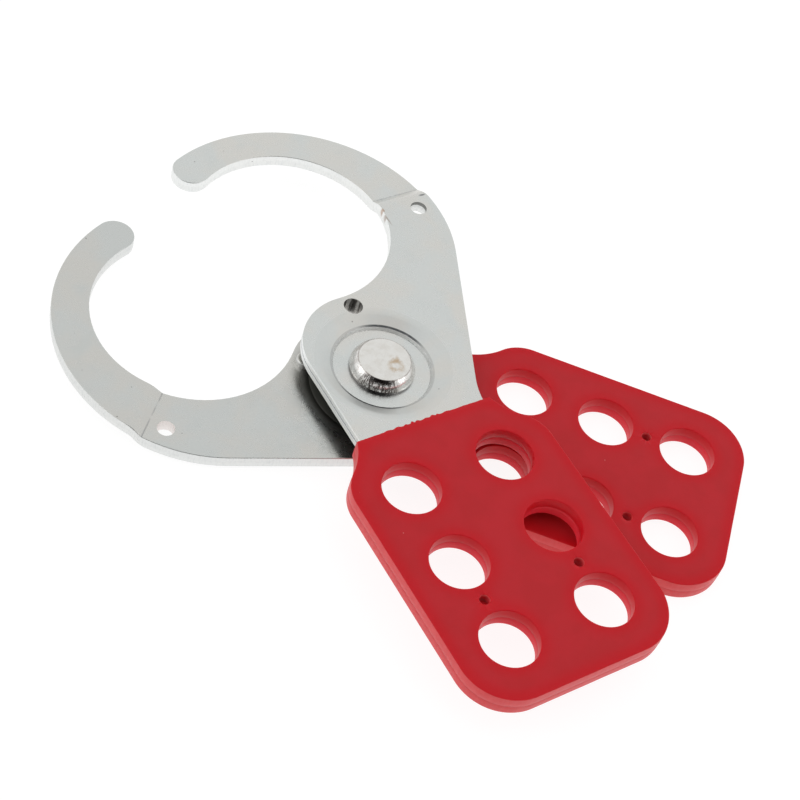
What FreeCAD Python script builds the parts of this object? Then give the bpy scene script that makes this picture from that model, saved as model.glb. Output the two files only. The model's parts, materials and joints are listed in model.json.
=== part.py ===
"""Steel lockout hasp: two jaw halves that cross on one rivet like scissors.

Frame, in millimetres: the origin is on the pivot axis, in the plane that the hasp lies on.
+Y points to the jaws and +Z up. The hasp is drawn open, as far as REST_OPENING says.

Both halves come off the same tools. Each is drawn closed, as the upper half, with its jaw on the
+X side. The lower half is that same shape turned over about the Y axis at mid height.
"""
import FreeCAD, Part
import math
import os

# ---- heights
GRIP_THICK = 4.2        # moulded grip, face to face
PLATE_THICK = 2.5       # steel sheet
LEVEL_PITCH = 6.1       # from the lower half's faces up to the upper half's
PLAY = 0.1              # free height between the two dished centres
HEAD_PLAY = 0.05        # free height under the rivet's head
JAW_STEP = 1.2          # how far each jaw is bent towards the other half

# ---- opening
REST_OPENING = 43.9     # degrees between the two halves as drawn

# ---- jaw ring, closed
RING_Y = 35.3           # centre of the opening, from the pivot
RING_R = 19.05          # 38.1 mm jaw
ARM_X = -0.4            # centre of the jaw's outer edge
ARM_Y = 30.6
ARM_R = 30.35
TIP_R = 3.63            # rounded end of the jaw
STEP_Y = 34.4           # where the bend starts
STEP_RUN = 2.1          # length of the bend
STEP_CREASE_R = 0.4     # sharp crease on the hollow side of each corner
STEP_ROLL_R = 4.0       # soft roll on its outer side
SHEARED_R = 0.2         # soft edge left by blanking and tumbling

# ---- body of the plate
FLANK_R = 27.7          # bulge of the outer flank, below the jaw
FLANK_ANGLE = 24.75     # slope of the flank's straight stretch, from the Y axis
NECK_HALF = 13.0        # half width of the neck that goes into the grip
NECK_BLEND_R = 15.0     # hollow between flank and neck
HUMP_R = 12.3           # rounded shoulder beside the pivot
CORE_HALF = 18.0        # half width of the sheet inside the grip
CORE_TOP = -21.5
CORE_END = -66.0
CORE_CORNER_R = 6.5
CORE_HOLE_R = 6.0       # clearance that the plastic lining fills
CORE_PIN_R = 1.4        # the same at the mould's core pins
PILOT = (26.1, 31.2, 1.6)       # locating hole in the jaw: x, y, radius
DIMPLE = (1.3, 13.6, 1.8)       # half-pierced pip beside the pivot
DIMPLE_DEPTH = 1.9
PIP_R = 1.6             # what the dimple pushes out on the inner face
PIP_HEIGHT = 1.3
PIP_ROUND = 0.3

# ---- dished centre and rivet
DISH_FLOOR_R = 9.0
DISH_KICK_R = 9.3       # top of the short steep wall round the floor
DISH_KICK = 0.55        # height of that wall
DISH_RIM_R = 12.05      # where the gentle slope would meet the sheet
DISH_ROLL_R = 3.2       # soft roll from the sheet into the slope
DISH_FACE_ROUND = 1.2   # edge of the bearing face on the convex side
DISH_FOOT_ROUND = 0.2   # foot of the slope on the convex side
RIVET_R = 4.0
PIVOT_PLAY = 0.05       # radial running fit
HEAD_R = 6.1
HEAD_FACE_R = 4.85
HEAD_RIM = 0.5          # straight edge at the foot of the head
HEAD_LEAN = 104.0       # heading of the bevel where it leaves the foot, from level

# ---- grip
GRIP_HALF = 20.5
GRIP_TOP = -14.2
GRIP_END = -69.2
GRIP_NECK_HALF = 14.0
SHOULDER_Y = -25.5
SHOULDER_R = 7.5
SHOULDER_SWEEP = 50.0   # degrees of rounding before the hollow starts
GRIP_CORNER_R = 9.5
GRIP_EDGE_R = 0.3
HOLE_R = 5.25           # padlock holes
HOLE_X = 9.74
HOLE_FIRST_Y = -26.2
HOLE_STEP = 16.0
HOLE_ROWS = 3
HOLE_RIM_R = 0.25
PIN_R = 0.95            # blind holes left by the mould's core pins, on both faces
PIN_DEPTH = 1.7
PIN_Y = HOLE_FIRST_Y - 1.5 * HOLE_STEP

# ---- worked out from the above
STACK = LEVEL_PITCH + GRIP_THICK
MID_Z = STACK / 2
SKIN = (GRIP_THICK - PLATE_THICK) / 2
PLATE_TOP = STACK - SKIN
PLATE_LOW = PLATE_TOP - PLATE_THICK
PIP_ROOT = PLATE_LOW + 0.3      # inside the sheet, below the dimple's floor
DISH_DEPTH = PLATE_LOW - MID_Z - PLAY / 2
FLOOR_TOP = PLATE_TOP - DISH_DEPTH
DISH_SLOPE = math.atan2(DISH_DEPTH - DISH_KICK, DISH_RIM_R - DISH_KICK_R)
GRIP_LOW = STACK - GRIP_THICK
REACH = 90.0            # larger than the hasp

X_AXIS = FreeCAD.Vector(1, 0, 0)
Z_AXIS = FreeCAD.Vector(0, 0, 1)
Y_AXIS = FreeCAD.Vector(0, 1, 0)


# ---- drawing helpers

def at(x, y, z=0.0):
    return FreeCAD.Vector(x, y, z)


def polar(centre, radius, degrees):
    turn = math.radians(degrees)
    return centre + at(radius * math.cos(turn), radius * math.sin(turn))


def arc(centre, radius, start, end):
    """Arc from one angle to another, in degrees."""
    middle = (start + end) / 2
    points = [polar(centre, radius, degrees) for degrees in (start, middle, end)]
    return Part.Arc(*points).toShape()


def arc_leaving(start, heading, end):
    """Arc that leaves start along heading, an angle in degrees, and stops at end."""
    chord = end - start
    bend = math.atan2(chord.y, chord.x) - math.radians(heading)
    side = at(-chord.y, chord.x).normalize()
    sag = chord.Length / 2 * math.tan(bend / 2)
    middle = (start + end) * 0.5 - side * sag
    return Part.Arc(start, middle, end).toShape()


def line(start, end):
    return Part.makeLine(start, end)


def prism(edges, low, high):
    wire = Part.Wire(edges)
    face = Part.Face(wire)
    face.translate(at(0, 0, low))
    return face.extrude(at(0, 0, high - low))


def rounded_box(half, low_y, high_y, corner, low, high):
    """Upright block, symmetric about X = 0, with rounded corners."""
    block = Part.makeBox(2 * half, high_y - low_y, high - low, at(-half, low_y, low))
    upright = [edge for edge in block.Edges if abs(edge.tangentAt(edge.FirstParameter).z) > 0.9]
    return block.makeFillet(corner, upright)


def turned_about_pivot(edges):
    """Solid of revolution from a closed outline drawn as (radius, height)."""
    face = Part.Face(Part.Wire(edges))
    face.rotate(at(0, 0), X_AXIS, 90)
    return face.revolve(at(0, 0), Z_AXIS, 360)


def post(x, y, radius, low, high):
    return Part.makeCylinder(radius, high - low, at(x, y, low))


def circles(shape, radius, height):
    """Full circular edges of one radius at one height."""
    found = []
    for edge in shape.Edges:
        curve = edge.Curve
        if not isinstance(curve, Part.Circle) or abs(curve.Radius - radius) > 1e-4:
            continue
        if abs(curve.Center.z - height) < 1e-4:
            found.append(edge)
    return found


def hole_places():
    places = []
    for row in range(HOLE_ROWS):
        for side in (-1, 1):
            places.append((side * HOLE_X, HOLE_FIRST_Y - row * HOLE_STEP))
    return places


def pin_places():
    return [(-HOLE_X, PIN_Y), (HOLE_X, PIN_Y)]


# ---- steel plate

def plate_outline():
    """Closed outline of jaw, body and neck, in order round the plate."""
    ring = at(0, RING_Y)
    arm = at(ARM_X, ARM_Y)
    flank = at(ARM_X + ARM_R - FLANK_R, ARM_Y)
    slope = math.radians(FLANK_ANGLE)

    # The tip's centre lies at equal depth inside the ring's and the arm's edges.
    to_ring = RING_R + TIP_R
    to_arm = ARM_R - TIP_R
    apart = (ring - arm).Length
    cosine = (apart ** 2 + to_ring ** 2 - to_arm ** 2) / (2 * apart * to_ring)
    towards_arm = math.degrees(math.atan2(ARM_Y - RING_Y, ARM_X))
    tip_angle = towards_arm + 360 - math.degrees(math.acos(cosine))
    tip = polar(ring, to_ring, tip_angle)
    arm_angle = math.degrees(math.atan2(tip.y - ARM_Y, tip.x - ARM_X))

    # Straight flank, then a hollow into the neck.
    flank_foot = polar(flank, FLANK_R, -FLANK_ANGLE)
    neck_x = NECK_HALF
    drop = (flank_foot.x - neck_x) / math.tan(slope)
    corner = at(neck_x, flank_foot.y - drop)
    reach = NECK_BLEND_R * math.tan(slope / 2)
    blend_top = corner + at(math.sin(slope), math.cos(slope)) * reach
    blend_foot = corner - at(0, reach)

    # The hump touches both the ring and the neck's other edge.
    hump_x = HUMP_R - NECK_HALF
    hump_y = RING_Y - math.sqrt((RING_R + HUMP_R) ** 2 - hump_x ** 2)
    hump = at(hump_x, hump_y)
    valley = math.degrees(math.atan2(RING_Y - hump_y, -hump_x))

    return [
        arc_leaving(blend_foot, 90, blend_top),
        line(blend_top, flank_foot),
        arc(flank, FLANK_R, -FLANK_ANGLE, 0),
        arc(arm, ARM_R, 0, arm_angle),
        arc(tip, TIP_R, arm_angle, tip_angle + 180),
        arc(ring, RING_R, tip_angle, valley - 180),
        arc(hump, HUMP_R, valley, 180),
        line(polar(hump, HUMP_R, 180), at(-NECK_HALF, CORE_TOP - CORE_CORNER_R)),
        line(at(-NECK_HALF, CORE_TOP - CORE_CORNER_R), at(NECK_HALF, CORE_TOP - CORE_CORNER_R)),
        line(at(NECK_HALF, CORE_TOP - CORE_CORNER_R), blend_foot),
    ]


def stepped_sheet():
    """Endless sheet, bent down towards the other half where the jaw starts."""
    bend_end = STEP_Y + STEP_RUN
    side_view = [
        (-REACH, PLATE_LOW), (STEP_Y, PLATE_LOW), (bend_end, PLATE_LOW - JAW_STEP),
        (REACH, PLATE_LOW - JAW_STEP), (REACH, PLATE_TOP - JAW_STEP),
        (bend_end, PLATE_TOP - JAW_STEP), (STEP_Y, PLATE_TOP), (-REACH, PLATE_TOP),
    ]
    points = [at(-REACH, y, z) for y, z in side_view]
    face = Part.Face(Part.makePolygon(points + points[:1]))
    sheet = face.extrude(at(2 * REACH, 0, 0))
    creases = []
    rolls = []
    hollow_corners = [at(0, STEP_Y, PLATE_LOW), at(0, bend_end, PLATE_TOP - JAW_STEP)]
    for edge in sheet.Edges:
        middle = edge.CenterOfMass
        if abs(middle.x) > 1e-6 or not STEP_Y - 1 < middle.y < bend_end + 1:
            continue
        hollow = min((middle - corner).Length for corner in hollow_corners) < 1e-6
        (creases if hollow else rolls).append(edge)
    sheet = sheet.makeFillet(STEP_ROLL_R, rolls)
    creases = [edge for edge in sheet.Edges if any(same_place(edge, crease) for crease in creases)]
    return sheet.makeFillet(STEP_CREASE_R, creases)


def same_place(edge, other):
    return (edge.CenterOfMass - other.CenterOfMass).Length < 1e-6


def sheared_edges(plate):
    """Edges between the upright walls of the outline and the two faces of the sheet."""
    found = []
    for edge in plate.Edges:
        walls = 0
        for face in plate.ancestorsOfType(edge, Part.Face):
            low_u, high_u, low_v, high_v = face.ParameterRange
            normal = face.normalAt((low_u + high_u) / 2, (low_v + high_v) / 2)
            if abs(normal.z) < 0.05:
                walls += 1
        if walls == 1 and edge.CenterOfMass.y > CORE_TOP:
            found.append(edge)
    return found


def dish_hollow():
    """What the press takes out above the dish: floor, steep kick, gentle slope and soft roll."""
    roll_foot = DISH_RIM_R + DISH_ROLL_R * math.tan(DISH_SLOPE / 2)
    roll_head = at(roll_foot - DISH_ROLL_R * math.sin(DISH_SLOPE),
                   PLATE_TOP - DISH_ROLL_R * (1 - math.cos(DISH_SLOPE)))
    centre = at(0, FLOOR_TOP)
    foot = at(DISH_FLOOR_R, FLOOR_TOP)
    kick = at(DISH_KICK_R, FLOOR_TOP + DISH_KICK)
    rim = at(roll_foot, PLATE_TOP)
    above = at(roll_foot, STACK)
    top = at(0, STACK)
    edges = [
        line(centre, foot),
        line(foot, kick),
        line(kick, roll_head),
        arc_leaving(roll_head, math.degrees(DISH_SLOPE), rim),
        line(rim, above),
        line(above, top),
        line(top, centre),
    ]
    return turned_about_pivot(edges)


def dish_back(plate, floor_low):
    """The plate with the same dish standing out of its lower face, one sheet thick."""
    shift = PLATE_THICK * math.tan(DISH_SLOPE / 2)
    foot_r = DISH_RIM_R + shift
    face_r = foot_r - DISH_DEPTH / math.tan(DISH_SLOPE)
    bulge = Part.makeCone(face_r, foot_r, DISH_DEPTH, at(0, 0, floor_low))
    plate = plate.fuse(bulge).removeSplitter()
    plate = plate.makeFillet(DISH_FACE_ROUND, circles(plate, face_r, floor_low))
    return plate.makeFillet(DISH_FOOT_ROUND, circles(plate, foot_r, PLATE_LOW))


def jaw_plate():
    """Sheet metal half: jaw, body, dished centre, neck and the core inside the grip."""
    plate = prism(plate_outline(), 0, STACK).common(stepped_sheet())
    plate = plate.makeFillet(SHEARED_R, sheared_edges(plate))
    core = rounded_box(CORE_HALF, CORE_END, CORE_TOP, CORE_CORNER_R, PLATE_LOW, PLATE_TOP)
    plate = plate.fuse(core).removeSplitter()

    plate = dish_back(plate, FLOOR_TOP - PLATE_THICK).cut(dish_hollow())

    for x, y in hole_places():
        plate = plate.cut(post(x, y, CORE_HOLE_R, 0, STACK))
    for x, y in pin_places():
        plate = plate.cut(post(x, y, CORE_PIN_R, 0, STACK))
    plate = plate.cut(post(*PILOT, 0, STACK))
    return half_pierced(plate)


def half_pierced(plate):
    """The plate with its blind dimple, whose slug stands out of the inner face as a pip."""
    x, y, radius = DIMPLE
    pip = post(x, y, PIP_R, PLATE_LOW - PIP_HEIGHT, PIP_ROOT)
    pip = pip.makeFillet(PIP_ROUND, circles(pip, PIP_R, PLATE_LOW - PIP_HEIGHT))
    plate = plate.fuse(pip).removeSplitter()
    return plate.cut(post(x, y, radius, PLATE_TOP - DIMPLE_DEPTH, STACK))


def pierced(plate, radius):
    """The plate with its pivot hole."""
    return plate.cut(post(0, 0, radius, 0, STACK))


# ---- moulded grip

def grip_outline():
    shoulder = at(GRIP_HALF - SHOULDER_R, SHOULDER_Y)
    corner = at(GRIP_HALF - GRIP_CORNER_R, GRIP_END + GRIP_CORNER_R)
    shoulder_top = polar(shoulder, SHOULDER_R, SHOULDER_SWEEP)
    neck = at(GRIP_NECK_HALF, GRIP_TOP)
    right = [
        line(at(0, GRIP_END), at(corner.x, GRIP_END)),
        arc(corner, GRIP_CORNER_R, -90, 0),
        line(at(GRIP_HALF, corner.y), at(GRIP_HALF, SHOULDER_Y)),
        arc(shoulder, SHOULDER_R, 0, SHOULDER_SWEEP),
        arc_leaving(shoulder_top, SHOULDER_SWEEP + 90, neck),
        line(neck, at(0, GRIP_TOP)),
    ]
    left = [edge.mirror(at(0, 0), at(1, 0)) for edge in right]
    return Part.__sortEdges__(right + left)


def grip(plate):
    """Plastic moulded round the core: it lines the padlock holes and shows no steel but the neck."""
    body = prism(grip_outline(), GRIP_LOW, STACK)
    rims = []
    for edge in body.Edges:
        flat = abs(edge.CenterOfMass.z - STACK) < 1e-6 or abs(edge.CenterOfMass.z - GRIP_LOW) < 1e-6
        if flat and edge.CenterOfMass.y < GRIP_TOP - 0.01:
            rims.append(edge)
    body = body.makeFillet(GRIP_EDGE_R, rims)
    for x, y in hole_places():
        body = body.cut(post(x, y, HOLE_R, 0, STACK))
    lips = circles(body, HOLE_R, STACK) + circles(body, HOLE_R, GRIP_LOW)
    body = body.makeFillet(HOLE_RIM_R, lips)
    for x, y in pin_places():
        body = body.cut(post(x, y, PIN_R, STACK - PIN_DEPTH, STACK))
        body = body.cut(post(x, y, PIN_R, GRIP_LOW, GRIP_LOW + PIN_DEPTH))
    return body.cut(plate)


# ---- rivet

def rivet_head(seat, face):
    """Low head between its seat and its flat face, with a bulging bevel."""
    way = 1 if face > seat else -1
    foot = seat + way * HEAD_RIM
    edges = [
        line(at(0, seat), at(HEAD_R, seat)),
        line(at(HEAD_R, seat), at(HEAD_R, foot)),
        arc_leaving(at(HEAD_R, foot), way * HEAD_LEAN, at(HEAD_FACE_R, face)),
        line(at(HEAD_FACE_R, face), at(0, face)),
        line(at(0, face), at(0, seat)),
    ]
    return turned_about_pivot(edges)


def pivot_rivet():
    """Solid rivet: free in the upper plate, fast in the lower one."""
    head_seat = FLOOR_TOP + HEAD_PLAY
    tail_seat = STACK - FLOOR_TOP
    shank = post(0, 0, RIVET_R, tail_seat, head_seat)
    return shank.fuse([rivet_head(head_seat, STACK), rivet_head(tail_seat, 0)]).removeSplitter()


# ---- assembly

def as_lower(shape):
    """The same shape turned over, as the lower half has it."""
    turned = shape.copy()
    turned.rotate(at(0, 0, MID_Z), Y_AXIS, 180)
    return turned


def opened(shape, degrees):
    turned = shape.copy()
    turned.rotate(at(0, 0), Z_AXIS, degrees)
    return turned


def main():
    plate = jaw_plate()
    moulding = grip(plate)
    half = REST_OPENING / 2
    nodes = {
        "upper_jaw_plate": opened(pierced(plate, RIVET_R + PIVOT_PLAY), -half),
        "upper_grip": opened(moulding, -half),
        "lower_jaw_plate": opened(as_lower(pierced(plate, RIVET_R)), half),
        "lower_grip": opened(as_lower(moulding), half),
        "pivot_rivet": pivot_rivet(),
    }
    os.makedirs("parts", exist_ok=True)
    for name, shape in nodes.items():
        shape.exportStep("parts/" + name + ".step")
        box = shape.BoundBox
        print(name, shape.isValid(), len(shape.Solids), round(shape.Volume, 1),
              [round(v, 2) for v in (box.XMin, box.XMax, box.YMin, box.YMax, box.ZMin, box.ZMax)])


main()
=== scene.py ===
"""Looks of the lockout hasp: red moulded grips, zinc-plated steel jaws and a bright rivet."""
import json
import math

import bmesh
import bpy
from mathutils import Matrix, Vector, noise
from mathutils.geometry import delaunay_2d_cdt


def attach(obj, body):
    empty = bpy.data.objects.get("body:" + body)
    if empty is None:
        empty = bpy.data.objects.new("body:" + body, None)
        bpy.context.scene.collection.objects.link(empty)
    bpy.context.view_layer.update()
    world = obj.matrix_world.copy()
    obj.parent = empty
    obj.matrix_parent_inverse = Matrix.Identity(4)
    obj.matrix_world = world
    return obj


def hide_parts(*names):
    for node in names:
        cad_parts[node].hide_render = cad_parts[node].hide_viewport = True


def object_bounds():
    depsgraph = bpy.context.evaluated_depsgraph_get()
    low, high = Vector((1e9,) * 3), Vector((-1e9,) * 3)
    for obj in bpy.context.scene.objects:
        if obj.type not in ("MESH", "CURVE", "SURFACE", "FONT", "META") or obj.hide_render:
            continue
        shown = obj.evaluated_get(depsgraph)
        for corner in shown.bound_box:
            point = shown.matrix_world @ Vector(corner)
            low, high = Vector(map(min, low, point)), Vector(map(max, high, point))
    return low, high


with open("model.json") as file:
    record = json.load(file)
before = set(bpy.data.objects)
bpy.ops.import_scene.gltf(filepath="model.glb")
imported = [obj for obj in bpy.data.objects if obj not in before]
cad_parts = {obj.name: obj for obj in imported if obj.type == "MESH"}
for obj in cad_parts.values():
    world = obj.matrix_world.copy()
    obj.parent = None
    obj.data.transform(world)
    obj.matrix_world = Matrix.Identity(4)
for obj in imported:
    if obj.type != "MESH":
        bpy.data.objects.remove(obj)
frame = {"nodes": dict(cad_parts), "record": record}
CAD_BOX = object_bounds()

MM = 0.001
NODES = frame["nodes"]
MOUNTS = {mount["name"]: mount for mount in frame["record"]["mounts"]}
STACK = CAD_BOX[1][2] - CAD_BOX[0][2]


def hole_centre(name):
    return Vector(MOUNTS[name]["pos_m"])


# Both halves are one shape: the lower is the upper turned over about the Y axis at mid height.
ACROSS = hole_centre("upper_hole_jaw_side_1") - hole_centre("upper_hole_back_side_1")
HALF_OPEN = math.atan2(-ACROSS.y, ACROSS.x)
UPPER = Matrix.Rotation(-HALF_OPEN, 4, "Z")
TURN_OVER = Matrix.Translation((0, 0, STACK)) @ Matrix.Rotation(math.pi, 4, "Y")
LOWER = Matrix.Rotation(HALF_OPEN, 4, "Z") @ TURN_OVER


# ---- camera, light and floor

# Angles are in degrees. A heading in the world is from +X, anticlockwise from above.
CAMERA_HEADING = 67.953         # clockwise from looking along +Y
CAMERA_ELEVATION = 49.610
CAMERA_ROLL = 20.037
CAMERA_PLACE = (4.996, -1.008, 336.325)     # mm from the origin along its own X, Y and Z
CAMERA_LENS = 82.588            # mm, on a sensor of 36 mm
TENT = (0.90, 0.905, 0.90)
FLOOR_WHITE = (1.05, 1.05, 1.05)
GAP = (0.015, 0.013, 0.013)
GAP_HEADING = 216.0             # about where the photographer stands
GAP_SIDES = (50, 33)            # to either side of that: where the gap starts and where it is full
GAP_FOOT = (14, 22)             # the same, rising from the horizon
GAP_TOP = (78, 62)              # and coming down from overhead
LAMPS = [(134.0, 31.0, 14.0, 1.6), (289.0, 27.0, 14.0, 1.6)]   # heading, elevation, spread, light
LAMP_FADE = 7
FLOOR_HALF = 2.0                # metres
FLOOR_GAP = 0.02                # mm under the hasp, so that the two don't share a plane
FLOOR_GREY = (0.18, 0.18, 0.18, 1.0)
FLOOR_GLOW = 0.9


def camera():
    """Looks down on the open hasp from the side of its upper jaw plate's back edge."""
    heading, elevation, roll = map(math.radians, (CAMERA_HEADING, CAMERA_ELEVATION, CAMERA_ROLL))
    turn = Matrix.Rotation(-heading, 3, "Z") @ Matrix.Rotation(math.pi / 2 - elevation, 3, "X")
    turn = turn @ Matrix.Rotation(roll, 3, "Z")
    data = bpy.data.cameras.new("camera")
    data.lens = CAMERA_LENS
    data.sensor_width = 36.0
    eye = bpy.data.objects.new("camera", data)
    place = turn @ (Vector(CAMERA_PLACE) * MM)
    eye.matrix_world = Matrix.Translation(place) @ turn.to_4x4()
    bpy.context.scene.collection.objects.link(eye)
    bpy.context.scene.camera = eye


class Tree:
    """Short calls that build one node tree."""

    def __init__(self, owner):
        owner.use_nodes = True
        self.owner = owner
        self.tree = owner.node_tree

    def put(self, socket, value):
        if isinstance(value, bpy.types.NodeSocket):
            self.tree.links.new(value, socket)
        else:
            socket.default_value = value

    def node(self, kind, **settings):
        made = self.tree.nodes.new(kind)
        for name, value in settings.items():
            setattr(made, name, value)
        return made

    def math(self, operation, *values):
        made = self.node("ShaderNodeMath", operation=operation)
        for socket, value in zip(made.inputs, values):
            self.put(socket, value)
        return made.outputs[0]

    def vector(self, operation, *values):
        made = self.node("ShaderNodeVectorMath", operation=operation)
        for socket, value in zip(made.inputs, values):
            self.put(socket, value)
        gives_number = operation in ("DOT_PRODUCT", "LENGTH", "DISTANCE")
        return made.outputs["Value" if gives_number else "Vector"]

    def scaled(self, vector, factor):
        made = self.node("ShaderNodeVectorMath", operation="SCALE")
        self.put(made.inputs[0], vector)
        made.inputs["Scale"].default_value = factor
        return made.outputs[0]

    def split(self, vector):
        made = self.node("ShaderNodeSeparateXYZ")
        self.put(made.inputs[0], vector)
        return made.outputs

    def step(self, value, start, end):
        """0 before start, 1 after end, smooth between; start may be the larger."""
        made = self.node("ShaderNodeMapRange", interpolation_type="SMOOTHSTEP")
        self.put(made.inputs["Value"], value)
        made.inputs["From Min"].default_value = start
        made.inputs["From Max"].default_value = end
        return made.outputs[0]

    def band(self, value, centre, half, soft):
        """1 within half of centre, falling to 0 over soft."""
        away = self.math("ABSOLUTE", self.math("SUBTRACT", value, centre))
        return self.step(away, half + soft, half)

    def noise(self, vector, scale, detail=3.0, roughness=0.55, distortion=0.0):
        made = self.node("ShaderNodeTexNoise")
        self.put(made.inputs["Vector"], vector)
        made.inputs["Scale"].default_value = scale
        made.inputs["Detail"].default_value = detail
        made.inputs["Roughness"].default_value = roughness
        made.inputs["Distortion"].default_value = distortion
        return made.outputs["Fac"]

    def mix(self, factor, first, second):
        made = self.node("ShaderNodeMix", data_type="RGBA")
        self.put(made.inputs["Factor"], factor)
        for name, value in (("A", first), ("B", second)):
            socket = [s for s in made.inputs if s.name == name and s.type == "RGBA"][0]
            self.put(socket, value if isinstance(value, bpy.types.NodeSocket) else (*value, 1.0))
        return [s for s in made.outputs if s.type == "RGBA"][0]

    def blend(self, factor, first, second):
        """A number between first and second."""
        made = self.node("ShaderNodeMix", data_type="FLOAT")
        for socket, value in zip(made.inputs[:1] + made.inputs[2:4], (factor, first, second)):
            self.put(socket, value)
        return made.outputs[0]

    def times(self, *values):
        total = values[0]
        for value in values[1:]:
            total = self.math("MULTIPLY", total, value)
        return total


def surroundings():
    """White tent with two lamps, and a dark gap about where the photographer stands."""
    world = bpy.data.worlds.new("studio")
    bpy.context.scene.world = world
    t = Tree(world)
    way = t.node("ShaderNodeTexCoord").outputs["Generated"]
    height = t.split(way)[2]
    level = t.vector("NORMALIZE", t.vector("MULTIPLY", way, (1, 1, 0)))
    gap = math.radians(GAP_HEADING)
    towards = t.vector("DOT_PRODUCT", level, (math.cos(gap), math.sin(gap), 0))
    near = t.step(towards, *(math.cos(math.radians(angle)) for angle in GAP_SIDES))
    low = t.step(height, *(math.sin(math.radians(angle)) for angle in GAP_TOP))
    high = t.step(height, *(math.sin(math.radians(angle)) for angle in GAP_FOOT))
    light = t.mix(t.times(near, low, high), TENT, GAP)
    for heading, elevation, spread, strength in LAMPS:
        a, e = math.radians(heading), math.radians(elevation)
        aim = (math.cos(e) * math.cos(a), math.cos(e) * math.sin(a), math.sin(e))
        facing = t.vector("DOT_PRODUCT", way, aim)
        rim, full = (math.cos(math.radians(angle)) for angle in (spread + LAMP_FADE, spread))
        spot = t.step(facing, rim, full)
        light = t.mix(spot, light, (strength, strength, strength))
    # The camera sees it as white as the floor, past the floor's edge and from below.
    seen = t.node("ShaderNodeLightPath").outputs["Is Camera Ray"]
    light = t.mix(seen, light, FLOOR_WHITE)
    t.put(t.tree.nodes["Background"].inputs["Color"], light)


def floor():
    """Plain white sheet that glows a little, so that it stays white in every view."""
    mesh = bpy.data.meshes.new("floor")
    r = FLOOR_HALF
    z = CAD_BOX[0][2] - FLOOR_GAP * MM
    mesh.from_pydata([(-r, -r, z), (r, -r, z), (r, r, z), (-r, r, z)], [], [(0, 1, 2, 3)])
    sheet = bpy.data.objects.new("floor", mesh)
    bpy.context.scene.collection.objects.link(sheet)
    material = bpy.data.materials.new("floor")
    material.use_nodes = True
    shader = material.node_tree.nodes["Principled BSDF"]
    shader.inputs["Base Color"].default_value = FLOOR_GREY
    shader.inputs["Roughness"].default_value = 0.8
    shader.inputs["Specular IOR Level"].default_value = 0.0
    shader.inputs["Emission Color"].default_value = (1.0, 1.0, 1.0, 1.0)
    shader.inputs["Emission Strength"].default_value = FLOOR_GLOW
    mesh.materials.append(material)


# ---- materials

def new_material(name):
    material = bpy.data.materials.new(name)
    t = Tree(material)
    return t, t.tree.nodes["Principled BSDF"]


def half_frame(t, is_upper):
    """Place on the surface in mm, in the frame in which its half lies closed as the upper one."""
    coords = t.node("ShaderNodeTexCoord")
    place = t.scaled(coords.outputs["Object"], 1000.0)
    turn = t.node("ShaderNodeMapping")
    turn.inputs["Rotation"].default_value = (0, 0, HALF_OPEN if is_upper else -HALF_OPEN)
    t.put(turn.inputs["Vector"], place)
    place = turn.outputs[0]
    if not is_upper:
        over = t.node("ShaderNodeVectorMath", operation="MULTIPLY_ADD")
        t.put(over.inputs[0], place)
        over.inputs[1].default_value = (-1, 1, -1)
        over.inputs[2].default_value = (0, 0, STACK * 1000)
        place = over.outputs[0]
    facing = t.split(coords.outputs["Normal"])[2]
    return place, facing


def bumped(t, shader, height, distance):
    bump = t.node("ShaderNodeBump")
    bump.inputs["Strength"].default_value = 1.0
    bump.inputs["Distance"].default_value = distance
    t.put(bump.inputs["Height"], height)
    t.put(shader.inputs["Normal"], bump.outputs[0])


# Heights and places on the sheet, in mm, in the closed upper half's frame.
SHEET_LOW = 6.95
SHEET = 2.5
BEND = (34.4, 36.5, 1.2)    # where the bend starts and ends, and its drop
KICK_R = (9.0, 9.3)         # the short steep wall round the dish's floor
PILOT_PLACE = (26.1, 31.2, 0.0)
DIMPLE_PLACE = (1.3, 13.6, 0.0)
SHEAR_LINE = 0.56           # height of the line between cut and break, in sheet thicknesses
DISH_SHADE_WAY = (0.68, 0.73)     # direction of the line along which the painted shade round the dish is darkest
INNER_SHADE_R = (15.2, 13.4)        # where the painted shade between the plates starts, coming in towards the pivot, and is whole
BLACK_R = (13.6, 12.2)      # and where it is black

ZINC_COLD = (0.655, 0.675, 0.665)
ZINC_WARM = (0.68, 0.67, 0.64)
ZINC_CLOUD = (0.60, 0.63, 0.625)
GRAIN_DARK = (0.52, 0.53, 0.51)
GRAIN_PALE = (0.76, 0.77, 0.75)
CUT_BRIGHT = (0.90, 0.91, 0.90)
CUT_TORN = (0.58, 0.61, 0.63)
CUT_LINE = (0.17, 0.20, 0.26)
PIT = (0.12, 0.11, 0.10)
CREASE_SHADE = (0.20, 0.22, 0.26)
DISH_SHADE = (0.08, 0.085, 0.09)
PILOT_DARK = (0.20, 0.20, 0.19)
PILOT_PALE = (0.97, 0.92, 0.90)
DIMPLE_SHADE = (0.40, 0.36, 0.34)
DIMPLE_STREAK_SHADE = (0.07, 0.06, 0.055)
INNER_SHADE_GREY = (0.20, 0.20, 0.18)
INNER_SHADE_BLACK = (0.042, 0.042, 0.037)
LOWER_SHADE = (0.06, 0.06, 0.05)


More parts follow.
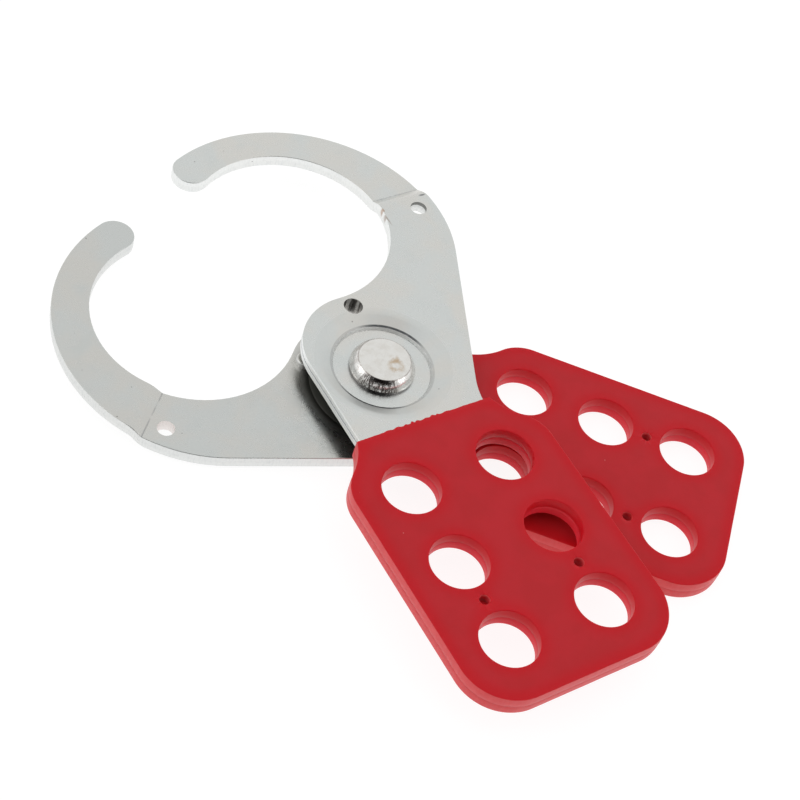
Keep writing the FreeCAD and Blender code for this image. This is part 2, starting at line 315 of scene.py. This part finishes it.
def steel(name, is_upper, marks):
    """Bright zinc plate on cold-rolled sheet, with sheared edges."""
    t, shader = new_material(name)
    place, facing = half_frame(t, is_upper)
    x, y, z = t.split(place)
    steep = t.math("ABSOLUTE", facing)
    wall = t.step(steep, 0.72, 0.45)
    top = t.step(facing, 0.5, 0.8)
    crease_y = BEND[1] if is_upper else BEND[0]

    # Cloudy passivation, cold and warm, and fine grain from rolling.
    cloud = t.noise(place, 0.085, 3.0, 0.6, 0.4)
    patch = t.noise(t.vector("ADD", place, (31, 7, 3)), 0.22, 4.0, 0.6)
    grain = t.noise(t.vector("MULTIPLY", place, (5.2, 1.7, 5.2)), 1.0, 4.0, 0.7)
    colour = t.mix(t.step(cloud, 0.38, 0.64), ZINC_COLD, ZINC_WARM)
    colour = t.mix(t.times(t.step(patch, 0.5, 0.72), 0.35), colour, ZINC_CLOUD)
    colour = t.mix(t.times(t.step(grain, 0.45, 0.8), 0.25), colour, GRAIN_DARK)
    colour = t.mix(t.times(t.step(grain, 0.45, 0.25), 0.25), colour, GRAIN_PALE)
    colour = t.mix(t.times(wall, 0.85), colour, CUT_BRIGHT)

    # Pits and dark specks.
    cells = t.node("ShaderNodeTexVoronoi")
    t.put(cells.inputs["Vector"], place)
    cells.inputs["Scale"].default_value = 0.42
    picked = t.step(t.split(cells.outputs["Color"])[0], 0.70, 0.74)
    speck = t.times(t.step(cells.outputs["Distance"], 0.075, 0.03), picked)
    colour = t.mix(t.times(speck, 0.7), colour, PIT)

    # Painted shade in the bend's crease and round the dish's floor.
    breakup = t.noise(place, 0.6, 3.0, 0.6)
    # A thin bluish dark line is painted along the bend's crease: painted shade.
    crease = t.times(t.band(y, crease_y, 0.05, 0.16), top, t.step(breakup, 0.25, 0.6))
    colour = t.mix(t.times(crease, 0.3), colour, CREASE_SHADE)
    # A dark ring is painted round the dish's floor, heaviest along the direction set above: painted
    # shadow.
    level = t.vector("MULTIPLY", place, (1, 1, 0))
    radius = t.vector("LENGTH", level)
    along = t.math("MULTIPLY_ADD", x, DISH_SHADE_WAY[0], t.times(y, DISH_SHADE_WAY[1]))
    along = t.math("DIVIDE", along, radius)
    heavy = t.blend(t.step(t.math("ABSOLUTE", along), 0.70, 0.95), 0.22, 0.97)
    on_wall = t.band(radius, sum(KICK_R) / 2, 0.17, 0.06)
    ring = t.math("MAXIMUM", on_wall, t.band(radius, KICK_R[1] + 0.17, 0.13, 0.14))
    ring = t.times(ring, t.step(breakup, 0.1, 0.5), top)
    colour = t.mix(t.times(ring, heavy), colour, DISH_SHADE)

    # Sheared walls: burnished above the line, broken below it.
    drop = t.times(t.step(y, BEND[0], BEND[1]), BEND[2])
    share = t.math("DIVIDE", t.math("ADD", t.math("SUBTRACT", z, SHEET_LOW), drop), SHEET)
    wander = t.math("MULTIPLY_ADD", t.noise(level, 0.75, 4.0, 0.7), 0.24, -0.12)
    above = t.math("SUBTRACT", t.math("SUBTRACT", share, SHEAR_LINE), wander)
    line = t.times(t.band(above, 0.0, 0.018, 0.045), wall)
    line = t.times(line, t.step(y, 19.0, 13.0), t.step(x, 2.0, -2.0))
    broken = t.times(t.step(above, 0.0, -0.05), wall)
    tear = t.noise(t.vector("MULTIPLY", place, (3.4, 3.4, 0.7)), 1.0, 4.0, 0.7)
    colour = t.mix(t.times(wall, t.step(tear, 0.45, 0.75), 0.35), colour, CUT_TORN)
    colour = t.mix(t.times(line, t.step(tear, 0.25, 0.5), 0.8), colour, CUT_LINE)

    # The upper plate's locating hole is darker where the punch burnished it, and the lower one's is
    # freshly torn and pale. The dimple is painted with shade, and its wall with painted dark
    # reflection streaks.
    in_hole = t.step(t.vector("DISTANCE", level, PILOT_PLACE), 2.0, 1.9)
    if is_upper:
        punched = t.times(in_hole, wall, t.step(above, 0.10, 0.15), 0.9)
        colour = t.mix(punched, colour, PILOT_DARK)
    else:
        colour = t.mix(t.times(in_hole, wall), colour, PILOT_PALE)
    in_dimple = t.step(t.vector("DISTANCE", level, DIMPLE_PLACE), 1.84, 1.8)
    in_dimple = t.times(in_dimple, t.band(z, SHEET_LOW + 1.3, 0.95, 0.15))
    colour = t.mix(t.times(in_dimple, 0.25), colour, DIMPLE_SHADE)
    dimple_streaks = t.noise(t.vector("MULTIPLY", place, (1.1, 1.1, 0.1)), 1.0, 2.0, 0.5)
    dimple_streaks = t.times(in_dimple, wall, t.step(dimple_streaks, 0.44, 0.54), 0.85)
    colour = t.mix(dimple_streaks, colour, DIMPLE_STREAK_SHADE)

    # Painted shade on the inner faces between the two plates, round the pivot where the two dishes
    # rub.
    inner = t.step(t.times(facing, -1.0 if is_upper else 1.0), 0.4, 0.7)
    ragged = t.math("ADD", radius, t.math("MULTIPLY", breakup, 0.8))
    inner_shade = t.times(inner, t.step(ragged, *INNER_SHADE_R))
    inner_shade_tone = t.mix(t.step(radius, *BLACK_R), INNER_SHADE_GREY, INNER_SHADE_BLACK)
    colour = t.mix(inner_shade, colour, inner_shade_tone)

    for mark in marks:
        colour = stain(t, place, colour, breakup, **mark)
    # The lower plate is painted darker all over: painted shade from lying under the upper one.
    if not is_upper:
        colour = t.mix(0.11, colour, LOWER_SHADE)

    t.put(shader.inputs["Base Color"], colour)
    shader.inputs["Metallic"].default_value = 1.0
    smudge = t.noise(t.vector("ADD", place, (5, 50, 9)), 0.3, 4.0, 0.6)
    rough = t.blend(t.step(smudge, 0.35, 0.7), 0.24, 0.31)
    rough = t.blend(t.step(steep, 0.90, 0.75), rough, 0.42)
    rough = t.blend(t.math("MAXIMUM", broken, t.times(in_hole, wall)), rough, 0.5)
    rough = t.blend(inner_shade, rough, 0.45)
    rough = t.blend(t.math("MAXIMUM", speck, t.math("MAXIMUM", crease, line)), rough, 0.6)
    slope = t.times(t.band(radius, 11.0, 1.6, 0.4), t.step(z, SHEET_LOW + 0.5, SHEET_LOW + 0.9))
    rough = t.blend(slope, rough, 0.46)
    t.put(shader.inputs["Roughness"], rough)

    ripple = t.noise(place, 0.35, 2.0, 0.5)
    height = t.math("MULTIPLY_ADD", ripple, 1.6, t.times(grain, 0.22))
    height = t.math("SUBTRACT", height, t.times(speck, 0.6))
    height = t.math("ADD", height, t.times(broken, tear, 3.5))
    height = t.math("SUBTRACT", height, t.times(line, 2.5))
    bumped(t, shader, height, 0.012 * MM)
    return t.owner


def stain(t, place, colour, breakup, centre, size, tint, amount):
    """An elliptical stain with a ragged edge, in the closed half's frame in mm."""
    reach = t.vector("DIVIDE", t.vector("SUBTRACT", place, centre), size)
    far = t.math("ADD", t.vector("LENGTH", reach), t.math("MULTIPLY_ADD", breakup, 0.9, -0.45))
    return t.mix(t.times(t.step(far, 1.0, 0.35), amount), colour, tint)


def rivet():
    """Bright plated rivet, its bevel streaked by the forming tool."""
    t, shader = new_material("rivet_steel")
    coords = t.node("ShaderNodeTexCoord")
    place = t.scaled(coords.outputs["Object"], 1000.0)
    x, y, z = t.split(place)
    facing = t.math("ABSOLUTE", t.split(coords.outputs["Normal"])[2])
    flat = t.step(facing, 0.93, 0.985)
    turn = t.math("ARCTAN2", y, x)
    round_it = t.node("ShaderNodeCombineXYZ")
    t.put(round_it.inputs[0], t.math("COSINE", turn))
    t.put(round_it.inputs[1], t.math("SINE", turn))
    t.put(round_it.inputs[2], t.times(z, 0.05))
    streaks = t.noise(round_it.outputs[0], 5.5, 5.0, 0.75)
    fine = t.noise(round_it.outputs[0], 22.0, 4.0, 0.7)
    patch = t.noise(place, 0.7, 4.0, 0.65)
    breakup = t.noise(place, 1.6, 4.0, 0.7)
    speckle = t.noise(place, 4.5, 4.0, 0.75)

    colour = t.mix(t.step(patch, 0.35, 0.7), *RIVET_FLAT)
    colour = t.mix(flat, RIVET_BRIGHT, colour)
    bevel = t.step(facing, 0.93, 0.8)
    colour = t.mix(t.times(t.step(streaks, 0.44, 0.60), bevel, 0.3), colour, RIVET_STREAK)
    colour = t.mix(t.times(t.step(speckle, 0.50, 0.58), bevel, 0.4), colour, RIVET_SPECKLE)
    # The bevel's side at that heading is painted near black in streaks: painted dark reflection,
    # with some tarnish.
    dark_side_angle = math.radians(RIVET_DARK_SIDE)
    dark_side_way = (math.cos(dark_side_angle), math.sin(dark_side_angle), 0)
    side = t.vector("DOT_PRODUCT", round_it.outputs[0], dark_side_way)
    dark_side = t.times(t.step(side, 0.70, 0.90), bevel)
    colour = t.mix(t.times(dark_side, t.step(fine, 0.40, 0.56), 0.9), colour, RIVET_DARK_REFLECTION_TARNISH)
    for centre, outer, inner, amount in RIVET_RINGS:
        away = t.vector("LENGTH", t.vector("SUBTRACT", place, centre))
        away = t.math("ADD", away, t.math("MULTIPLY_ADD", breakup, 0.9, -0.45))
        hollow = t.step(away, inner - 0.5, inner)
        mark = t.times(t.step(away, outer + 0.2, outer - 0.5), hollow, flat)
        colour = t.mix(t.times(mark, t.step(patch, 0.3, 0.6), amount), colour, RIVET_TAN)
    radius = t.vector("LENGTH", t.vector("MULTIPLY", place, (1, 1, 0)))
    edge = t.times(t.band(radius, 4.86, 0.04, 0.12), t.step(breakup, 0.3, 0.5))
    # A dark band is painted round the base of the head, where it meets the dish: painted shade.
    base_shade = t.times(t.band(z, 8.0, 0.22, 0.08), t.step(breakup, 0.2, 0.45))
    colour = t.mix(t.times(edge, 0.55), colour, RIVET_EDGE)
    t.put(shader.inputs["Base Color"], t.mix(t.times(base_shade, 0.8), colour, RIVET_BASE_SHADE))

    shader.inputs["Metallic"].default_value = 1.0
    rough = t.blend(flat, t.blend(t.step(streaks, 0.4, 0.7), 0.06, 0.13), 0.2)
    rough = t.blend(t.times(t.step(fine, 0.48, 0.62), dark_side), rough, 0.34)
    t.put(shader.inputs["Roughness"], rough)
    height = t.math("MULTIPLY_ADD", streaks, 3.2, t.math("MULTIPLY_ADD", speckle, 2.0, fine))
    height = t.blend(flat, height, t.times(breakup, 1.1))
    bumped(t, shader, height, 0.009 * MM)
    return t.owner


RIVET_DARK_SIDE = -152       # heading of the bevel's side painted dark: painted reflection, with tarnish
RIVET_RINGS = [         # tan rings on the flat: centre, outer radius, inner radius, strength
    ((0.45, -2.3, 10.3), 1.65, 0.95, 0.5),
    ((1.35, -1.2, 10.3), 1.05, 0.0, 0.6),
    ((-0.7, -2.7, 10.3), 0.6, 0.2, 0.5),
]
RIVET_FLAT = ((0.78, 0.77, 0.745), (0.72, 0.70, 0.665))
RIVET_BRIGHT = (0.87, 0.86, 0.84)
RIVET_STREAK = (0.42, 0.36, 0.33)
RIVET_SPECKLE = (0.26, 0.22, 0.21)
RIVET_DARK_REFLECTION_TARNISH = (0.06, 0.043, 0.038)
RIVET_TAN = (0.47, 0.33, 0.19)
RIVET_EDGE = (0.26, 0.22, 0.20)
RIVET_BASE_SHADE = (0.16, 0.15, 0.15)


RED = ((0.53, 0.0165, 0.0235), (0.565, 0.018, 0.027))
RED_FINE = (0.47, 0.018, 0.026)
RED_PAINTED_GLOW = (0.60, 0.004, 0.012)
RED_WALL_SHEEN = ((0.68, 0.078, 0.083), (0.71, 0.10, 0.105))
RED_BORE_SHADE_AND_LIGHT = ((0.60, 0.006, 0.014), (0.74, 0.03, 0.05))
RED_LINE_SHADE = (0.26, 0.006, 0.01)
RED_SCUFF = (0.62, 0.08, 0.09)
DUST = (0.75, 0.35, 0.33)


def plastic(name, is_upper):
    """Red moulded plastic: satin faces, glossier walls, a little light carried inside, with painted
    glow, sheen and shade.
    """
    t, shader = new_material(name)
    place, facing = half_frame(t, is_upper)
    z = t.split(place)[2]
    wall = t.step(t.math("ABSOLUTE", facing), 0.8, 0.4)
    cloud = t.noise(place, 0.16, 3.0, 0.6)
    fine = t.noise(place, 3.2, 4.0, 0.7)
    colour = t.mix(t.step(cloud, 0.35, 0.65), *RED)
    colour = t.mix(t.times(t.step(fine, 0.55, 0.8), 0.25), colour, RED_FINE)

    # Painted glow: a face is painted redder within a few millimetres of its edges.
    edge_probe = t.node("ShaderNodeAmbientOcclusion", inside=True, only_local=True, samples=8)
    edge_probe.inputs["Distance"].default_value = 3.6 * MM
    glow = t.step(edge_probe.outputs["AO"], 0.97, 0.6)
    colour = t.mix(t.times(glow, 0.85), colour, RED_PAINTED_GLOW)
    # Outer walls are painted paler and pinker than the faces: painted sheen.
    mottle = t.noise(t.vector("MULTIPLY", place, (1.2, 1.2, 0.5)), 1.0, 4.0, 0.65)
    wall_sheen = t.mix(t.step(mottle, 0.3, 0.7), *RED_WALL_SHEEN)
    # Each bore is painted deeper red in its upper half and brighter red in its lower half: painted
    # shade above, painted light bounced up from the floor below.
    above = t.times(t.math("ADD", z, -MID_GRIP), 1.0 if is_upper else -1.0)
    bore_shading = t.mix(t.step(above, 0.1, -0.1), *RED_BORE_SHADE_AND_LIGHT)
    bore = t.node("ShaderNodeAttribute", attribute_name="bore").outputs["Fac"]
    colour = t.mix(t.times(wall, 0.85), colour, t.mix(bore, wall_sheen, bore_shading))

    # The mould's parting line, half way up every wall, painted darker: painted shade in its nick.
    wander = t.math("MULTIPLY_ADD", t.noise(place, 0.5), 0.1, -0.05)
    line = t.times(t.band(t.math("ADD", z, wander), MID_GRIP, 0.03, 0.08), wall)
    colour = t.mix(t.times(line, 0.18), colour, RED_LINE_SHADE)

    # Dust and short pale scuffs.
    cells = t.node("ShaderNodeTexVoronoi")
    t.put(cells.inputs["Vector"], place)
    cells.inputs["Scale"].default_value = 0.3
    picked = t.step(t.split(cells.outputs["Color"])[1], 0.78, 0.8)
    dust = t.times(t.step(cells.outputs["Distance"], 0.04, 0.02), picked)
    colour = t.mix(t.times(dust, 0.6), colour, DUST)
    scuff = t.noise(t.vector("MULTIPLY", place, (0.35, 4.5, 1.0)), 1.0, 5.0, 0.75, 0.6)
    scuff = t.times(t.step(scuff, 0.66, 0.74), t.step(cloud, 0.5, 0.62))
    colour = t.mix(t.times(scuff, 0.16), colour, RED_SCUFF)

    t.put(shader.inputs["Base Color"], colour)
    shader.inputs["Specular IOR Level"].default_value = 0.18
    shader.inputs["Subsurface Weight"].default_value = 0.3
    shader.inputs["Subsurface Radius"].default_value = (1.0, 0.12, 0.1)
    shader.inputs["Subsurface Scale"].default_value = 0.9 * MM
    rough = t.blend(t.step(cloud, 0.35, 0.65), 0.36, 0.44)
    rough = t.blend(wall, rough, 0.42)
    t.put(shader.inputs["Roughness"], t.blend(dust, rough, 0.7))
    height = t.math("MULTIPLY_ADD", fine, 0.5, t.times(t.noise(place, 0.9, 2.0), 2.0))
    height = t.math("SUBTRACT", height, t.times(scuff, 0.4))
    bumped(t, shader, height, 0.008 * MM)
    return t.owner


# ---- grips, drawn in mm in the closed upper half's frame, as the moulder's tool shapes them

GRIP_THICK = 4.2
TOP = STACK * 1000
MID_GRIP = TOP - GRIP_THICK / 2
GRIP_HALF = 20.5
GRIP_TOP = -14.2
GRIP_END = -69.2
GRIP_NECK = 14.0
SHOULDER = (13.0, -25.5, 7.5, 50.0)     # centre, radius, sweep in degrees
CORNER_R = 9.5
EDGE_R = 0.2
HOLE_R = 5.25
LIP_R = 0.22
PIN_R = 0.95
PIN_DEPTH = 1.7
DRAFT = 0.05            # how far each wall leans back between parting line and edge
PARTING = (0.04, 0.02)  # half height and depth of the nick along the parting line
NIBS = [                # ragged flash over the steel: place along the mouth, half width, reach
    (-7.6, 1.3, 0.20), (-5.6, 1.1, 0.26), (-3.9, 0.6, 0.24), (-2.5, 0.45, 0.44), (-1.5, 0.7, 0.28),
    (0.3, 1.0, 0.18), (1.7, 0.8, 0.34), (2.7, 0.5, 0.24), (4.6, 1.2, 0.20), (8.3, 1.4, 0.10),
]
GRID = 1.35             # spacing of the points on the faces
PITCH = 0.45            # and along the outline


def sweep(centre, radius, start, end):
    steps = max(2, round(abs(math.radians(end - start)) * radius / PITCH))
    turns = [math.radians(start + (end - start) * i / steps) for i in range(steps + 1)]
    return [(centre[0] + radius * math.cos(a), centre[1] + radius * math.sin(a)) for a in turns]


def run(start, end, pitch=PITCH):
    steps = max(1, round(math.dist(start, end) / pitch))
    return [tuple(s + (e - s) * i / steps for s, e in zip(start, end)) for i in range(steps + 1)]


def hollow_run(start, heading, end):
    """Arc that leaves start along heading, in degrees, and stops at end."""
    chord = Vector(end) - Vector(start)
    bend = math.atan2(chord.y, chord.x) - math.radians(heading)
    points = []
    steps = max(2, round(chord.length / PITCH))
    for i in range(steps + 1):
        share = i / steps
        sag = math.tan(bend / 2) * 2 * share * (1 - share)
        x = start[0] + chord.x * share + chord.y * sag
        y = start[1] + chord.y * share - chord.x * sag
        points.append((x, y))
    return points


def grip_outline():
    """Closed outline, anticlockwise, starting at the middle of the far end."""
    corner = (GRIP_HALF - CORNER_R, GRIP_END + CORNER_R)
    sx, sy, sr, turn = SHOULDER
    shoulder_top = (sx + sr * math.cos(math.radians(turn)), sy + sr * math.sin(math.radians(turn)))
    right = run((0, GRIP_END), (corner[0], GRIP_END))
    right += sweep(corner, CORNER_R, -90, 0)[1:]
    right += run((GRIP_HALF, corner[1]), (GRIP_HALF, sy))[1:]
    right += sweep((sx, sy), sr, 0, turn)[1:]
    right += hollow_run(shoulder_top, turn + 90, (GRIP_NECK, GRIP_TOP))[1:]
    right += run((GRIP_NECK, GRIP_TOP), (0, GRIP_TOP), 0.16)[1:]
    left = [(-x, y) for x, y in reversed(right[1:-1])]
    return right + left


def inward(points, amounts):
    """Each point moved into the outline by its own amount."""
    moved = []
    count = len(points)
    for i, (x, y) in enumerate(points):
        before, after = Vector(points[i - 1]), Vector(points[(i + 1) % count])
        here = Vector((x, y))
        first, second = (here - before).normalized(), (after - here).normalized()
        side = Vector((-(first + second).y, (first + second).x)).normalized()
        square = max(0.5, side.dot(Vector((-first.y, first.x))))
        moved.append(here + side * amounts[i] / square)
    return moved


def wall_profile(edge_r, steps=5):
    """Section of a moulded wall from its upper edge down: (inset, height) pairs."""
    half = GRIP_THICK / 2
    middle = TOP - half
    nick, depth = PARTING
    upper = []
    for i in range(steps + 1):
        a = math.radians(90 * i / steps)
        upper.append((DRAFT + edge_r * (1 - math.sin(a)), half - edge_r * (1 - math.cos(a))))
    upper.append((DRAFT * 0.45, half * 0.45))
    upper.append((0.0, nick))
    lower = [(inset, -height) for inset, height in reversed(upper)]
    return [(inset, middle + height) for inset, height in upper + [(depth, 0.0)] + lower]


def flash(x):
    """How far the plastic has crept over the steel at the grip's mouth: ragged, in patches."""
    if abs(x) > GRIP_NECK - 0.2:
        return 0.0
    reach = 0.04 + 0.05 * noise.noise(Vector((x * 3.1, 1.7, 0.4)))
    for place, half, height in NIBS:
        if abs(x - place) < half:
            reach = max(reach, height * (1 + math.cos(math.pi * (x - place) / half)) / 2)
    return reach


def ring_of(bm, points, height):
    return [bm.verts.new((x, y, height)) for x, y in points]


def skirt(bm, upper, lower, inside_out=False):
    count = len(upper)
    for i in range(count):
        j = (i + 1) % count
        corners = (upper[i], lower[i], lower[j], upper[j])
        bm.faces.new(reversed(corners) if inside_out else corners)


def face_between(bm, outer, circles, inner_rings, height, up):
    """Flat face inside the outer ring and outside the hole rings, with an even grid of points."""
    rings = [outer] + inner_rings
    flat = [vert for ring in rings for vert in ring]
    points = [Vector((vert.co.x, vert.co.y)) for vert in flat]
    edges = []
    base = 0
    for ring in rings:
        count = len(ring)
        edges += [(base + i, base + (i + 1) % count) for i in range(count)]
        base += count
    border = [tuple(vert.co.xy) for vert in outer]
    rows = round((GRIP_TOP - GRIP_END) / GRID)
    columns = round(2 * GRIP_HALF / GRID)
    for row in range(1, rows):
        for column in range(1, columns):
            x = -GRIP_HALF + (column + 0.5 * (row % 2)) * GRID
            y = GRIP_END + row * GRID
            clear = all(math.dist((x, y), centre) > radius + 0.6 for centre, radius in circles)
            if clear and inside(border, x, y) and near_edge(border, x, y) > 0.5:
                points.append(Vector((x, y)))
    made = delaunay_2d_cdt(points, edges, [], 1, 1e-7)
    verts = []
    for co, origin in zip(made[0], made[3]):
        if origin and origin[0] < len(flat):
            verts.append(flat[origin[0]])
        else:
            dip = 0.02 * noise.noise(Vector((co.x * 0.11, co.y * 0.11, height)))
            verts.append(bm.verts.new((co.x, co.y, height + (-abs(dip) if up else abs(dip)))))
    for triangle in made[2]:
        middle = sum((made[0][i] for i in triangle), Vector((0, 0))) / 3
        if any((middle - Vector(centre)).length < radius for centre, radius in circles):
            continue
        if not inside(border, middle.x, middle.y):
            continue
        corners = [verts[i] for i in triangle]
        a, b, c = (vert.co.xy for vert in corners)
        anticlockwise = (b - a).cross(c - a) > 0
        bm.faces.new(corners if anticlockwise == up else reversed(corners))


def inside(border, x, y):
    found = False
    count = len(border)
    for i in range(count):
        x1, y1 = border[i]
        x2, y2 = border[(i + 1) % count]
        if (y1 > y) != (y2 > y) and x < (x2 - x1) * (y - y1) / (y2 - y1) + x1:
            found = not found
    return found


def near_edge(border, x, y):
    return min(math.dist((x, y), point) for point in border)


def grip_mesh():
    """Closed moulding with its padlock holes, core-pin holes, parting line and flash."""
    bm = bmesh.new()
    outline = grip_outline()
    steel_top = TOP - (GRIP_THICK - SHEET) / 2
    section = wall_profile(EDGE_R)
    steel_low = steel_top - SHEET
    heights = [steel_top + 0.10, steel_top - 0.05, steel_low + 0.05, steel_low - 0.10]
    section += [(None, height) for height in heights]
    section.sort(key=lambda pair: -pair[1])
    known = [pair for pair in section if pair[0] is not None]
    rings = []
    for inset, height in section:
        if inset is None:
            above = [pair for pair in known if pair[1] >= height][-1]
            below = [pair for pair in known if pair[1] <= height][0]
            share = (above[1] - height) / (above[1] - below[1])
            inset = above[0] + (below[0] - above[0]) * share
        amounts = []
        for x, y in outline:
            at_mouth = y > GRIP_TOP - 1e-6
            wave = 0.03 * noise.noise(Vector((x * 0.16, y * 0.16, 0.0)))
            over_steel = abs(height - (steel_top - SHEET / 2)) > SHEET / 2
            creep = flash(x) if at_mouth and over_steel else 0.0
            amounts.append((inset * 0.35 if at_mouth else inset) + abs(wave) - creep)
        rings.append(ring_of(bm, inward(outline, amounts), height))
    for upper, lower in zip(rings, rings[1:]):
        skirt(bm, upper, lower)

    top_rings, low_rings, circles = [], [], []
    for centre in hole_places():
        stack = []
        for inset, height in wall_profile(LIP_R):
            radius = HOLE_R + inset
            stack.append(ring_of(bm, circle(centre, radius, 84), height))
        for upper, lower in zip(stack, stack[1:]):
            skirt(bm, upper, lower, inside_out=True)
        top_rings.append(stack[0])
        low_rings.append(stack[-1])
        circles.append((centre, HOLE_R + DRAFT + LIP_R))
    for centre in pin_places():
        for target, face_z, way in ((top_rings, TOP, -1), (low_rings, TOP - GRIP_THICK, 1)):
            rim = ring_of(bm, circle(centre, PIN_R + 0.08, 28), face_z)
            lip = ring_of(bm, circle(centre, PIN_R, 28), face_z + way * 0.08)
            deep = ring_of(bm, circle(centre, PIN_R * 0.93, 28), face_z + way * PIN_DEPTH)
            skirt(bm, rim, lip, inside_out=way < 0)
            skirt(bm, lip, deep, inside_out=way < 0)
            bm.faces.new(deep if way < 0 else list(reversed(deep)))
            target.append(rim)
        circles.append((centre, PIN_R + 0.08))
    face_between(bm, rings[0], circles, top_rings, TOP, True)
    face_between(bm, rings[-1], circles, low_rings, TOP - GRIP_THICK, False)
    return bm


def circle(centre, radius, count):
    turns = [2 * math.pi * i / count for i in range(count)]
    return [(centre[0] + radius * math.cos(a), centre[1] + radius * math.sin(a)) for a in turns]


def hole_places():
    """The padlock holes as the record's mounts give them, laid back into the closed half."""
    back = UPPER.inverted()
    names = [name for name in sorted(MOUNTS) if name.startswith("upper_hole")]
    return [tuple((back @ hole_centre(name) * 1000).xy) for name in names]


def pin_places():
    holes = hole_places()
    low_y = min(y for x, y in holes)
    next_y = min(y for x, y in holes if y > low_y + 1)
    return [(x, (low_y + next_y) / 2) for x, y in holes if y < low_y + 1]


def add_grips():
    bm = grip_mesh()
    holes = hole_places()
    reach = HOLE_R + DRAFT + LIP_R + 0.01
    for half, place, is_upper in (("upper", UPPER, True), ("lower", LOWER, False)):
        mesh = bpy.data.meshes.new(half + "_moulding")
        bm.to_mesh(mesh)
        in_bore = [min(math.dist(v.co.xy, hole) for hole in holes) < reach for v in mesh.vertices]
        bore = [float(found) for found in in_bore]
        mesh.attributes.new("bore", "FLOAT", "POINT").data.foreach_set("value", bore)
        mesh.transform(place @ Matrix.Scale(MM, 4))
        mesh.shade_smooth()
        piece = bpy.data.objects.new(half + "_moulding", mesh)
        bpy.context.scene.collection.objects.link(piece)
        mesh.materials.append(plastic(half + "_red_plastic", is_upper))
        smooth = piece.modifiers.new("faces", "WEIGHTED_NORMAL")
        smooth.keep_sharp = True
        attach(piece, half + "_half")
        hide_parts(half + "_grip")
    bm.free()


def dress(node, material):
    mesh = NODES[node].data
    mesh.materials.clear()
    mesh.materials.append(material)


RUST = (0.42, 0.26, 0.17)
BROWN = (0.30, 0.22, 0.17)
SMUDGE = (0.17, 0.17, 0.18)
UPPER_MARKS = [
    {"centre": (19.0, 32.95, 9.3), "size": (0.32, 0.7, 2.0), "tint": RUST, "amount": 0.7},
    {"centre": (18.65, 30.7, 9.3), "size": (0.22, 2.2, 2.0), "tint": BROWN, "amount": 0.6},
    {"centre": (28.6, 34.1, 9.0), "size": (0.9, 0.35, 2.0), "tint": SMUDGE, "amount": 0.8},
]

camera()
surroundings()
floor()
add_grips()
dress("upper_jaw_plate", steel("upper_steel", True, UPPER_MARKS))
dress("lower_jaw_plate", steel("lower_steel", False, []))
dress("pivot_rivet", rivet())
bpy.context.scene.view_settings.view_transform = "Standard"
